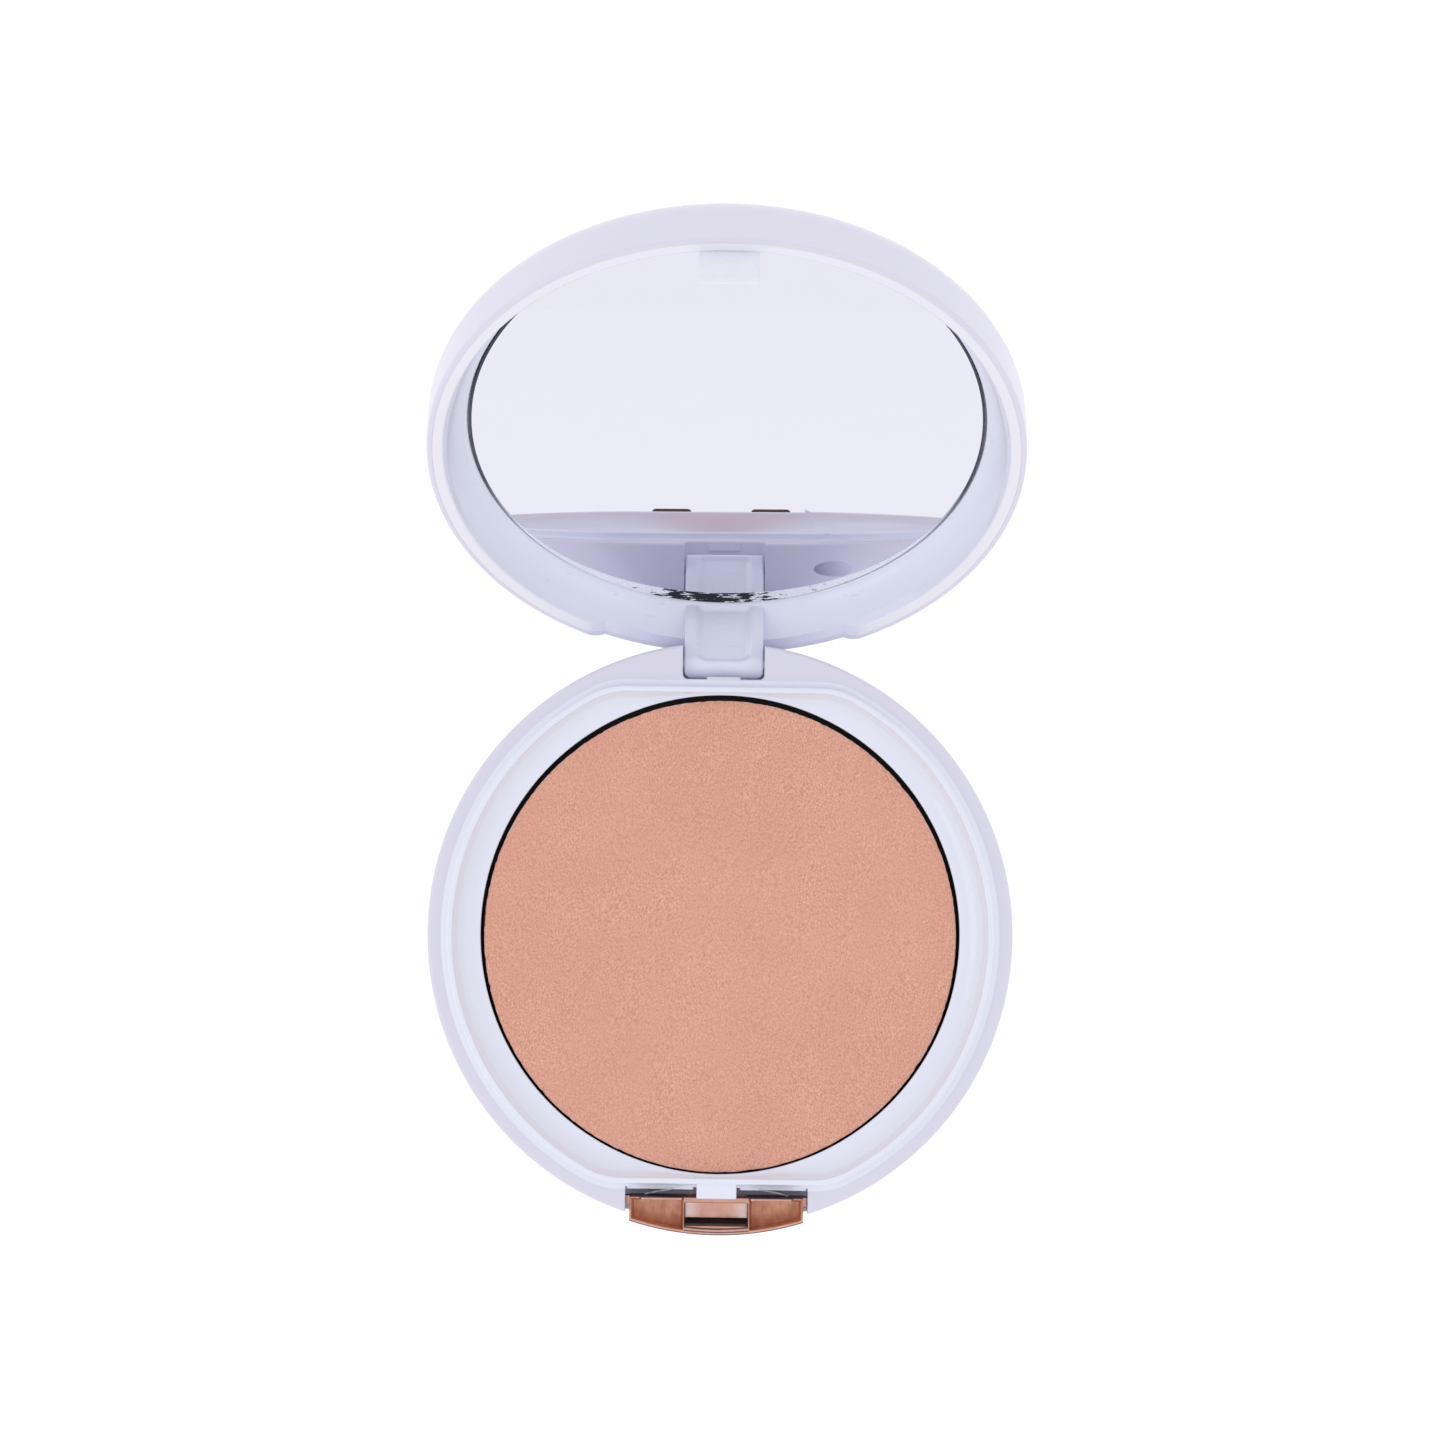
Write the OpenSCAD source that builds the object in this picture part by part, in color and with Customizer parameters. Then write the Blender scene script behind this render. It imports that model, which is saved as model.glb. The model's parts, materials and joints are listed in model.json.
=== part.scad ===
// Round powder compact: a hinged lid with a mirror over a base that holds a
// pan of pressed powder. A sprung button at the front lets go of the lid.
//
// Frame: +Z is up, +Y points to the hinge and -Y to the button. The origin is
// the centre of the base's flat underside. The lid is drawn open.
// Each piece is drawn with z = 0 on the parting plane, where the closed lid
// meets the base. in_base() and in_lid() then put it in its place.

/* [Case] */
// Outside diameter of the base and the lid
case_d = 73.2; // [72.8:0.1:74]
// Height of the base, from the table to the parting plane
base_h = 11.9; // [11.5:0.1:13]
// Height of the lid above the parting plane
lid_h = 8.4; // [8.3:0.1:9]
// Rounding of the base's lower edge
base_round = 6; // [5.5:0.1:6.5]
// Rounding of the lid's upper edge
lid_round = 3.7; // [3:0.1:4]
// Rounding of the two edges that meet at the parting plane
rim_round = 0.45; // [0.2:0.05:0.6]
// Wall thickness of the base shell
wall = 1.8; // [1.6:0.1:2]
// Floor thickness of the base shell
floor_t = 1.5; // [1.2:0.1:1.8]

/* [Hinge] */
// Distance of the hinge pin behind the middle of the case
hinge_y = 33.8; // [33.7:0.05:33.9]
// Depth of the hinge pin under the parting plane
hinge_drop = 3.3; // [3.2:0.05:3.6]
// Angle that the lid opens
open_angle = 132; // [120:1:132]
// Diameter of the hinge pin
pin_d = 1.5; // [1.4:0.1:1.6]
// Radial clearance of the pin in its holes
pin_gap = 0.05; // [0.02:0.01:0.08]
// Width of the hinge tab
tab_w = 9.9; // [9:0.1:10]
// Thickness of the hinge tab, which ends in a half round
tab_t = 3.4; // [3.3:0.05:3.4]
// Side clearance of the tab in its notch
tab_gap = 0.15; // [0.1:0.05:0.25]
// Half width of the cut in the lid's skirt that clears the base
relief_x = 15; // [14.5:0.1:15.5]
// Height of that cut
relief_h = 1.35; // [1.3:0.05:1.6]

/* [Tray and powder] */
// Diameter of the powder pan
pan_d = 59; // [58.6:0.1:59]
// Height of the powder pan
pan_h = 4.1; // [3.6:0.1:4.1]
// Sheet thickness of the powder pan
pan_t = 0.25; // [0.2:0.05:0.4]
// Depth of the powder's surface under the pan's rim
powder_drop = 0.15; // [0.05:0.05:0.5]
// Radial gap round the pan
pan_gap = 0.5; // [0.3:0.05:0.6]
// Height of the tray's lip above the parting plane
lip_h = 1.1; // [0.9:0.05:1.2]
// Depth of the ledge round the pan under the parting plane
ledge_drop = 1.7; // [1.5:0.1:1.8]
// Radius of the tray's outside
tray_r = 34.7; // [34.6:0.05:34.75]
// Distance from the middle to the tray's flat front and rear
tray_flat = 31.45; // [31.4:0.05:31.5]
// Wall thickness of the tray
tray_wall = 1.2; // [1:0.1:1.3]

/* [Button] */
// Width of the button
button_w = 21.8; // [21:0.1:22]
// How far the button stands out of the base
button_out = 1; // [0.8:0.1:1.2]
// How far the button travels when it is pressed
button_travel = 0.9; // [0.85:0.01:0.9]
// Height of the button
button_h = 5.8; // [5:0.1:6]
// Width of the tongue that hangs from the lid's rim
tongue_w = 7.2; // [6.6:0.1:7.3]
// How far the tongue reaches below the rim
tongue_len = 4.5; // [4:0.1:4.6]
// How far the tongue's barb reaches under the button's bridge
barb_grip = 0.4; // [0.3:0.05:0.5]

/* [Mirror] */
// Diameter of the mirror
mirror_d = 63.1; // [62.5:0.1:63.2]
// Depth of the mirror's face above the parting plane
mirror_depth = 5.66; // [5.6:0.02:5.7]
// Thickness of the mirror glass
glass_t = 1.1; // [1:0.05:1.1]

/* [Hidden] */
$fn = 96;

eps = 0.01;                          // overlap of shapes in one solid
far = 60;                            // longer than any cut needs to be
case_r = case_d / 2;
fit = 0.05;                          // gap between parts fitted together
room = 0.25;                         // gap between the open lid and the base
hinge_z = -hinge_drop;
base_floor = -base_h + floor_t;      // upper face of the base's floor
tray_round = 9;                      // corners of the tray's outline
tray_in = 0.5;                       // lip set in from the tray's outside
lip_w = 0.75;                        // width of the lip's flat top
lip_flat_in = 0.35;                  // lip set in at the flats
lip_r = tray_r - tray_in - lip_w;    // inner edge of the lip
lip_flat = tray_flat - lip_flat_in - lip_w;
dish_r = lip_h + ledge_drop;         // curve of the wall round the well
well_r = pan_d / 2 + pan_gap;        // hole for the pan
pan_rim = -ledge_drop - 0.1;         // top of the pan
pan_floor = pan_rim - pan_h;         // underside of the pan
glue_t = 0.15;
well_floor = pan_floor - glue_t;     // upper face of the tray's floor
tray_bottom = well_floor - 1;
skirt_bottom = -5;                   // lower edge of the tray's skirt
ring_r = 22;                         // ring on the base's floor
ring_t = 1.2;
label_r = 13;
label_t = 0.12;                      // also the depth of the label's recess
nub_w = 5;                           // nub on the front of the lip
nub_y = 32.9;
rib_x = 4.15;                        // guide ribs behind the button
rib_w = 2.5;
rib_y = 31.84;
rib_h = 2.6;

notch_r = tab_t / 2 + 0.1;           // room for the tab's round end
pin_r = pin_d / 2;
bore_r = pin_r + pin_gap;
pin_x0 = -10.2;                      // ends of the hinge pin
pin_x1 = 9.4;
entry_r = 1;                         // wider mouth of the pin's hole
entry_x = 9.6;
detent_w = 4.2;                      // small nub at the notch's inner edge
detent_y = 32.3;
detent_h = 0.6;
recess_w = 5.3;                      // shallow recess in the tab
recess_t = 0.4;

slot_x = 11.4;                       // front slot for the button
slot_z = -button_h - 0.35;
button_top = -0.3;
button_back = 32.78;                 // rear edge of the button's wings
button_arc = 35.8;                   // radius of the button's front
button_y = case_r + button_out;      // front of the button
channel_x = 3.87;                    // half width of the middle channel
rim_t = 0.38;                        // wall round each wing's pocket
pocket_d = 2.6;
front_t = 1.3;                       // thickness of the front wall
channel_z = -5.1;                    // floor of the middle channel
bridge_t = 0.72;                     // bridge that the barb catches on
bridge_z = -2.9;                     // underside of the bridge
wing_wall_t = 0.27;                  // raised wall at each wing's rear
wing_wall_x = 9.6;
wing_wall_z = 1.4;
ear_x = 11.9;                        // ears that keep the button in
ear_t = 1.1;
ear_z0 = -4.8;
ear_z1 = -2.6;
spring_x = 9;                        // half length of the bowed spring
spring_t = 0.2;
spring_z0 = -5.4;
spring_z1 = -3;
spring_y0 = tray_flat + 0.02;        // crown of the spring
spring_y1 = button_back - 0.02;      // ends of the spring

cover_t = 0.65;                      // wall of the lid's cover at its rim
cover_in = case_r - cover_t;
cover_top = lid_h - 1.35;            // underside of the cover's top
frame_r = cover_in - fit;
rim_in = 34.6;                       // inner edge of the lid's rim
skirt_z = 1.4;                       // where the skirt starts to slope
skirt_in = 31.95;                    // inner skirt at the mirror
seat_r = mirror_d / 2 + 0.28;
seat_z = mirror_depth - 0.15;
frame_top = cover_top - fit;
lobe_r = 5.4;                        // rounded ends of the skirt
tongue_y = 34.5;                     // front face of the tongue
tongue_t = 0.9;
tongue_root = 2.6;                   // its top, inside the skirt
barb_top = bridge_z - 0.15;          // upper face of the barb
coat_t = 0.08;
tape_t = 0.2;
tape_r = 30;

white = "#ddddee";
inner_white = "#d4d6ea";
tin = "#c9ccd2";
powder = "#d69f8c";
rose = "#a06b57";
steel = "#b0b2b8";

// ---- placing --------------------------------------------------------

module in_base() {
    translate([0, 0, base_h]) children();
}

// Turns pieces of the closed lid open about the pin
module turned(angle) {
    translate([0, hinge_y, hinge_z])
        rotate([-angle, 0, 0])
            translate([0, -hinge_y, -hinge_z]) children();
}

module in_lid() {
    in_base() turned(open_angle) children();
}

// ---- shared outlines ------------------------------------------------

// Half section of a round slab from z0 to z1, with rounded outer edges
module slab_half(r, z0, z1, low, high) {
    translate([0, z0 + low]) square([r, z1 - z0 - low - high]);
    translate([0, z0]) square([r - low, z1 - z0 - high]);
    translate([0, z1 - high - eps]) square([r - high, high + eps]);
    if (low > 0) translate([r - low, z0 + low]) circle(low);
    if (high > 0) translate([r - high, z1 - high]) circle(high);
}

module slab(r, z0, z1, low = 0, high = 0) {
    rotate_extrude() slab_half(r, z0, z1, low, high);
}

// Round outline cut flat at front and rear, with rounded corners
module tub_2d(r, flat, corner) {
    xc = sqrt(pow(r - corner, 2) - pow(flat - corner, 2));
    band = (flat - corner) * r / (r - corner);
    intersection() {
        circle(r);
        square([2 * far, 2 * band], center = true);
    }
    square([2 * xc, 2 * flat], center = true);
    for (sx = [-1, 1], sy = [-1, 1])
        translate([sx * xc, sy * (flat - corner)]) circle(corner);
}

module tub(r, flat, z0, z1) {
    translate([0, 0, z0])
        linear_extrude(z1 - z0) tub_2d(r, flat, tray_round);
}

// Block between two corners
module block(p0, p1) {
    translate(p0) cube(p1 - p0);
}

// Extrudes an outline in the Y-Z plane along X, centred on x = 0
module across(w) {
    translate([-w / 2, 0, 0]) rotate([90, 0, 90]) linear_extrude(w) children();
}

// Round bar along X at the hinge axis
module hinge_bar(r, x0, x1) {
    translate([x0, hinge_y, hinge_z])
        rotate([0, 90, 0]) cylinder(h = x1 - x0, r = r);
}

// ---- base -----------------------------------------------------------

// Notch for the tab: its floor slopes with the open tab's underside
module tab_notch() {
    a = open_angle;
    low = [hinge_y + notch_r * cos(a), hinge_z - notch_r * sin(a)];
    run = 8;
    end = low + run * [sin(a), cos(a)];
    hinge_bar(notch_r, -tab_w / 2 - tab_gap, tab_w / 2 + tab_gap);
    across(tab_w + 2 * tab_gap)
        polygon([
            [hinge_y - notch_r, far], [hinge_y - notch_r, hinge_z],
            low, end, [end[0], far]
        ]);
}

// Room in the base's rear for the lid's edge, over its last few degrees
module lid_room() {
    for (back = [0, 6])
        turned(open_angle - back)
            slab(case_r + room, relief_h - room, lid_h);
}

module button_slot() {
    block([-slot_x, -far, slot_z], [slot_x, -tray_flat + 0.5, far]);
    block([-ear_x - 0.3, -button_back - ear_t - fit, ear_z0 - 0.1],
        [ear_x + 0.3, -tray_flat + 0.5, ear_z1 + 0.1]);
}

module base_shell() {
    color(white) in_base() {
        difference() {
            slab(case_r, -base_h, 0, base_round, rim_round);
            intersection() {
                tub(tray_r + fit, tray_flat + fit, base_floor, far);
                slab(case_r - wall, base_floor, far, base_round - wall, 0);
            }
            tab_notch();
            lid_room();
            hinge_bar(bore_r, pin_x0 - 0.2, entry_x);
            hinge_bar(entry_r, entry_x - eps, far);
            button_slot();
            slab(label_r + 0.2, -base_h - 1, -base_h + label_t);
        }
        // Ring that carries the tray
        difference() {
            slab(ring_r, base_floor - eps, tray_bottom - 0.02);
            slab(ring_r - ring_t, base_floor - 1, 0);
        }
        block([-detent_w / 2, hinge_y - notch_r - 0.3, -detent_h],
            [detent_w / 2, detent_y, 0]);
    }
}

module inner_tray() {
    color(white) in_base() difference() {
        union() {
            tub(tray_r, tray_flat, -ledge_drop - 1, 0);
            tub(tray_r - tray_in, tray_flat - lip_flat_in, -eps, lip_h);
            difference() {
                tub(tray_r, tray_flat, skirt_bottom, -ledge_drop);
                tub(tray_r - tray_wall, tray_flat - tray_wall,
                    skirt_bottom - 1, -ledge_drop);
            }
            slab(well_r + tray_wall, tray_bottom, -ledge_drop);
            block([-nub_w / 2, -nub_y, 0],
                [nub_w / 2, -tray_flat + 1, lip_h - 0.1]);
            for (side = [-1, 1])
                translate([side * rib_x - rib_w / 2, -rib_y, -rib_h])
                    cube([rib_w, rib_y - tray_flat + 0.5, rib_h]);
        }
        // Well for the pan
        slab(well_r, well_floor, far);
        // Curved wall round the well, cut off at the two flats
        intersection() {
            slab(lip_r, -ledge_drop, far, dish_r);
            tub(lip_r, lip_flat, -far, far);
        }
    }
}

module powder_pan() {
    color(tin) in_base() difference() {
        slab(pan_d / 2, pan_floor, pan_rim, 0.3, 0);
        slab(pan_d / 2 - pan_t, pan_floor + pan_t, 0, 0.1, 0);
    }
}

module powder_cake() {
    color(powder) in_base()
        slab(pan_d / 2 - pan_t, pan_floor + pan_t, pan_rim - powder_drop,
            0.1, 0.1);
}

// Four dots of glue under the pan
module pan_glue() {
    color("white") in_base()
        for (a = [45 : 90 : 315])
            rotate([0, 0, a]) translate([18, 0, well_floor])
                cylinder(h = glue_t, r = 3);
}

module base_label() {
    color("white") in_base() slab(label_r, -base_h, -base_h + label_t);
}

module hinge_pin() {
    color(steel) in_base() hinge_bar(pin_r, pin_x0, pin_x1);
}

// ---- button ---------------------------------------------------------

// Plan of the button; inset moves its front and sides in
module button_2d(inset = 0) {
    intersection() {
        translate([0, -button_y + button_arc]) circle(button_arc - inset);
        translate([-button_w / 2 + inset, -far])
            square([button_w - 2 * inset, far - button_back]);
    }
}

// Plan of the pocket in the wing on the given side
module wing_pocket_2d(side) {
    x0 = channel_x + rim_t;
    x1 = button_w / 2 - rim_t;
    intersection() {
        button_2d(rim_t);
        translate([side > 0 ? x0 : -x1, -far])
            square([x1 - x0, far - button_back - rim_t]);
    }
}

module release_button() {
    bridge_y = -button_back - bridge_t;
    color(rose) in_base() {
        difference() {
            translate([0, 0, -button_h])
                linear_extrude(button_h + button_top) button_2d();
            for (side = [-1, 1])
                translate([0, 0, button_top - pocket_d])
                    linear_extrude(far) wing_pocket_2d(side);
            // Channel for the lid's tongue, which runs on under the bridge
            block([-channel_x, -button_y + front_t, channel_z],
                [channel_x, bridge_y, far]);
            block([-channel_x, bridge_y - 1, channel_z],
                [channel_x, -button_back + 1, bridge_z]);
        }
        for (side = [-1, 1]) {
            // Raised wall at the rear of the wing
            translate([side * (channel_x + rim_t / 2 + wing_wall_x) / 2, 0, 0])
                block([-(wing_wall_x - channel_x - rim_t / 2) / 2,
                        -button_back - wing_wall_t, button_top - eps],
                    [(wing_wall_x - channel_x - rim_t / 2) / 2,
                        -button_back, wing_wall_z]);
            translate([side * (button_w / 2 + ear_x) / 2, 0, 0])
                block([-(ear_x - button_w / 2) / 2 - eps,
                        -button_back - ear_t, ear_z0],
                    [(ear_x - button_w / 2) / 2 + eps, -button_back, ear_z1]);
        }
    }
}

// Bowed leaf spring between the tray's skirt and the button
module button_spring() {
    rise = spring_y1 - spring_y0 - spring_t;
    r = (spring_x * spring_x + rise * rise) / (2 * rise);
    color(steel) in_base()
        translate([0, 0, spring_z0]) linear_extrude(spring_z1 - spring_z0)
            intersection() {
                difference() {
                    translate([0, -spring_y0 - r]) circle(r, $fn = 200);
                    translate([0, -spring_y0 - r])
                        circle(r - spring_t, $fn = 200);
                }
                translate([-spring_x, -spring_y1])
                    square([2 * spring_x, spring_y1 - spring_y0]);
            }
}

// ---- lid ------------------------------------------------------------

// Cut along the skirt's lower edge at the rear, with rounded ends
module skirt_relief() {
    translate([0, far, 0]) rotate([90, 0, 0]) linear_extrude(far) {
        translate([-relief_x, -1]) square([2 * relief_x, relief_h + 1]);
        for (side = [-1, 1]) {
            run = sqrt(lobe_r * lobe_r - pow(lobe_r - relief_h, 2));
            x = side * (relief_x + run);
            difference() {
                translate([side > 0 ? relief_x - eps : -relief_x - run, -1])
                    square([run + eps, relief_h + 1]);
                translate([x, lobe_r]) circle(lobe_r);
            }
        }
    }
}

module lid_cover() {
    color(white) in_lid() difference() {
        slab(case_r, 0, lid_h, rim_round, lid_round);
        slab(cover_in, -1, cover_top, 0, lid_round - cover_t);
        skirt_relief();
    }
}

// Space inside the mirror frame: the sloping skirt and the mirror's seat
module frame_inside() {
    rotate_extrude()
        polygon([
            [0, -1], [rim_in, -1], [rim_in - 0.1, skirt_z],
            [skirt_in, seat_z], [seat_r, seat_z], [seat_r, lid_h], [0, lid_h]
        ]);
}

// Hollow behind the skirt, filled in over the tongue and at the tab
module frame_hollow() {
    difference() {
        rotate_extrude()
            polygon([
                [33.2, lid_h], [33.2, 5.1], [34.9, 2.1], [34.9, lid_h]
            ]);
        block([-6, -far, 0], [6, 0, far]);
        block([-tab_w / 2, 0, 0], [tab_w / 2, far, far]);
    }
}

// Tab that hangs from the frame and turns on the hinge pin
module hinge_tab() {
    y0 = hinge_y - tab_t / 2;
    y1 = hinge_y + tab_t / 2;
    difference() {
        union() {
            hinge_bar(tab_t / 2, -tab_w / 2, tab_w / 2);
            across(tab_w)
                polygon([[y0, hinge_z], [y1, hinge_z], [y1, 4.6], [y0, seat_z]]);
        }
        block([-recess_w / 2, y0 - 1, hinge_z],
            [recess_w / 2, y0 + recess_t, seat_z - 0.6]);
    }
}

// Tongue at the front, with a barb that the button's bridge holds down
module tongue() {
    rear = -tongue_y + tongue_t;
    tip = -tongue_len;
    barb = -button_back - bridge_t + barb_grip;
    across(tongue_w)
        polygon([
            [-tongue_y - 0.25, tongue_root], [-tongue_y - 0.25, 0.4],
            [-tongue_y, 0.3], [-tongue_y, tip + 0.3], [-tongue_y + 0.2, tip],
            [rear, tip], [barb, barb_top - 0.5], [barb, barb_top],
            [rear, barb_top], [rear, tongue_root]
        ]);
}

module mirror_frame() {
    color(inner_white) in_lid() difference() {
        union() {
            difference() {
                slab(frame_r, 0, frame_top, 0, lid_round - cover_t + 0.1);
                frame_inside();
                frame_hollow();
                skirt_relief();
            }
            hinge_tab();
            tongue();
        }
        hinge_bar(bore_r, -tab_w, tab_w);
    }
}

module mirror_glass() {
    color("#e6e8f2") in_lid()
        slab(mirror_d / 2, mirror_depth, mirror_depth + glass_t, 0.2, 0);
}

module mirror_coating() {
    z0 = mirror_depth + glass_t;
    color("silver") in_lid() slab(mirror_d / 2 - 0.1, z0, z0 + coat_t);
}

module mirror_tape() {
    z0 = mirror_depth + glass_t + coat_t;
    color("white") in_lid() slab(tape_r, z0, z0 + tape_t);
}

base_shell();
inner_tray();
powder_pan();
powder_cake();
pan_glue();
base_label();
release_button();
button_spring();
hinge_pin();
lid_cover();
mirror_frame();
mirror_glass();
mirror_coating();
mirror_tape();
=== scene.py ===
"""Looks of a round powder compact: white shell, hinged lid with a mirror, rose-gold push button.

Every detailed piece is built here in millimetres, in a frame whose z = 0 is the plane where the
closed lid meets the base, and is then placed on the CAD body that carries it.
"""

import json
from math import asin, cos, degrees, pi, radians, sin, sqrt, tan

import bmesh
import bpy
import numpy as np
from mathutils import Matrix, Vector


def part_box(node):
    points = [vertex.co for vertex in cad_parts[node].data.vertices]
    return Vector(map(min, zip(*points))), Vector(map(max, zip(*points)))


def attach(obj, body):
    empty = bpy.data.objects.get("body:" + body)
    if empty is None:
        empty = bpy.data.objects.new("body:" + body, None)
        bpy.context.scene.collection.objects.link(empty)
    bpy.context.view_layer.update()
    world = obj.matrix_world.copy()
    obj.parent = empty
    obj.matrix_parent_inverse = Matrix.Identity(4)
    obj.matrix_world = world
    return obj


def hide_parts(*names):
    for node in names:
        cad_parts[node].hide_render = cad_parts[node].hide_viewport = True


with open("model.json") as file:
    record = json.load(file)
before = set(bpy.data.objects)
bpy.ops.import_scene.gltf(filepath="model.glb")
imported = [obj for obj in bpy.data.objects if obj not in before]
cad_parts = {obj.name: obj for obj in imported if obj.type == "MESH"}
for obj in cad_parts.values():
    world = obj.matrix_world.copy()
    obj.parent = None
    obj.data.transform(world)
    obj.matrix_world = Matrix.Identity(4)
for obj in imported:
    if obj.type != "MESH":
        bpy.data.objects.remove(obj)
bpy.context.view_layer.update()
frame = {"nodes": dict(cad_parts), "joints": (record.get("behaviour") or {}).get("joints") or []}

MM = 0.001
TURN = 360                      # points round a full circle


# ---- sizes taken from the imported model, in millimetres ---------------------------------------

def joint(name):
    return next(j for j in frame["joints"] if j["name"] == name)


def top_of(node):
    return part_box(node)[1].z / MM


def bottom_of(node):
    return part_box(node)[0].z / MM


def radius_of(node):
    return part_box(node)[1].x / MM


LIP_H = 1.1                                 # height of the tray's lip over the parting plane
BASE_H = top_of("inner_tray") - LIP_H       # height of the parting plane over the table
CASE_R = radius_of("base_shell")
TRAY_R = radius_of("inner_tray")
PAN_R = radius_of("powder_pan")
PAN_TOP = top_of("powder_pan") - BASE_H
PAN_LOW = bottom_of("powder_pan") - BASE_H
CAKE_R = radius_of("powder_cake")
CAKE_TOP = top_of("powder_cake") - BASE_H
CAKE_LOW = bottom_of("powder_cake") - BASE_H
MIRROR_R = radius_of("mirror_glass")
BUTTON_Y = -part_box("release_button")[0].y / MM
HINGE = joint("lid_hinge")["pos_m"]
HINGE_Y = HINGE[1] / MM
HINGE_Z = HINGE[2] / MM - BASE_H
OPEN = -joint("lid_hinge")["range_deg"][0]  # how far the lid is open at rest, in degrees

# ---- other sizes, in millimetres -------------------------------------------------------------

LID_H = 8.4
BASE_ROUND = 6.0
LID_ROUND = 3.7
RIM_ROUND = 0.45
CORNER = 9.0                                # corner radius of the tray's outline
TRAY_FLAT = 31.45
FILLET = 0.75                               # fillet between the shelf and the lip
LIP_OUT = 34.2
LIP_IN = 33.45
FLAT_IN = 3.1                               # how far the flats lie inside the round outline
LEDGE_Z = -1.7
LEDGE_R = 30.3
WELL_R = 30.0
WELL_FLOOR = -6.05
TRAY_BOTTOM = -7.05
LABEL_R = 13.0
PAN_SHIFT = -0.22                           # the pan is glued a little nearer the button
POWDER_R = PAN_R + 0.06                     # the powder hides the pan's thin rim
LABEL_T = 0.12
TAB_HALF = 4.95
TAB_R = 1.7                                 # half thickness of the tab, round the pin
TAB_GAP = 0.15
TAB_CORNER = 1.1                            # rounding of the tab's end, seen from above when open
NOTCH_CORNER = 0.6                          # rounding of the notch's inner corners
NOTCH_R = 1.8
PIN_HOLE_R = 0.8
PIN_END = -10.4                             # blind end of the pin's hole
ENTRY_R = 1.0
ENTRY_X = 9.6
SLOT_X = 11.4
SLOT_Z = -6.15
GUIDE_Y = -31.84                            # front of the ribs behind the pressed button
RELIEF_X = 15.0
RELIEF_H = 1.35
LOBE_R = 5.4
TONGUE_HALF = 3.6
TONGUE_Y = -34.5                            # front face of the tongue
COVER_IN = 35.91
COVER_UNDER = 7.05
FRAME_R = 35.9
RIM_IN = 34.5
SKIRT_Z = 1.4
SKIRT_IN = 31.95
SEAT_Z = 5.51
SEAT_R = 31.83
FRAME_TOP = 7.0
MIRROR_Z = 5.66
GLASS_T = 1.1
FAR = 45.0


# ---- placing ---------------------------------------------------------------------------------

def base_matrix():
    """From the parting-plane frame in millimetres to the row frame in metres."""
    return Matrix.Scale(MM, 4) @ Matrix.Translation((0, 0, BASE_H))


def turned(angle):
    """Turns something drawn on the closed lid open by angle degrees about the pin."""
    pin = Matrix.Translation((0, HINGE_Y, HINGE_Z))
    return pin @ Matrix.Rotation(radians(-angle), 4, "X") @ pin.inverted()


def lid_matrix():
    return base_matrix() @ turned(OPEN)


# ---- outlines --------------------------------------------------------------------------------

ANGLES = np.linspace(0, 2 * pi, TURN, endpoint=False)


def arc(cx, cy, r, start, end, steps):
    """Points on a circle from start to end degrees, both ends included."""
    return [(cx + r * cos(a), cy + r * sin(a)) for a in np.radians(np.linspace(start, end, steps))]


def tub(r, flat, corner=CORNER):
    """Radius, for each angle, of a circle cut flat at front and rear with rounded corners."""
    xc = sqrt((r - corner) ** 2 - (flat - corner) ** 2)
    band = (flat - corner) * r / (r - corner)
    radii = []
    for a in ANGLES:
        s = abs(sin(a))
        c = abs(cos(a))
        if r * s <= band:
            radii.append(r)
        elif flat * c <= xc * s:
            radii.append(flat / s)
        else:
            along = c * xc + s * (flat - corner)
            radii.append(along + sqrt(along ** 2 - xc ** 2 - (flat - corner) ** 2 + corner ** 2))
    return np.array(radii)


def polar(radii, z):
    """A closed ring of points; a zero radius gives a single point on the axis."""
    if np.isscalar(radii):
        if radii == 0:
            return np.array([[0.0, 0.0, z]])
        radii = np.full(TURN, float(radii))
    return np.column_stack([radii * np.cos(ANGLES), radii * np.sin(ANGLES), np.full(TURN, z)])


# ---- meshes ----------------------------------------------------------------------------------

def make(name, verts, faces):
    """New object from points and faces, with its normals facing out."""
    mesh = bpy.data.meshes.new(name)
    mesh.from_pydata([tuple(map(float, v)) for v in verts], [], faces)
    work = bmesh.new()
    work.from_mesh(mesh)
    bmesh.ops.recalc_face_normals(work, faces=work.faces)
    work.to_mesh(mesh)
    work.free()
    made = bpy.data.objects.new(name, mesh)
    bpy.context.scene.collection.objects.link(made)
    return made


def loft(name, rings, closed=False):
    """Skin over rings of points. A ring of one point is a pole; open ends get a cap."""
    starts = np.cumsum([0] + [len(r) for r in rings])
    faces = []
    pairs = [(i, i + 1) for i in range(len(rings) - 1)]
    if closed:
        pairs.append((len(rings) - 1, 0))
    for a, b in pairs:
        n = max(len(rings[a]), len(rings[b]))
        for i in range(n):
            j = (i + 1) % n
            if len(rings[a]) == 1:
                faces.append((starts[a], starts[b] + i, starts[b] + j))
            elif len(rings[b]) == 1:
                faces.append((starts[a] + i, starts[b], starts[a] + j))
            else:
                faces.append((starts[a] + i, starts[b] + i, starts[b] + j, starts[a] + j))
    if not closed:
        for k in (0, len(rings) - 1):
            if len(rings[k]) > 1:
                faces.append(tuple(range(starts[k], starts[k + 1])))
    return make(name, np.vstack(rings), [tuple(map(int, f)) for f in faces])


def revolve(name, profile, closed=False):
    return loft(name, [polar(r, z) for r, z in profile], closed)


def stack(name, levels):
    """Solid between outlines of equal point count, given as (points in plan, z)."""
    return loft(name, [np.array([(x, y, z) for x, y in points]) for points, z in levels])


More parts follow.
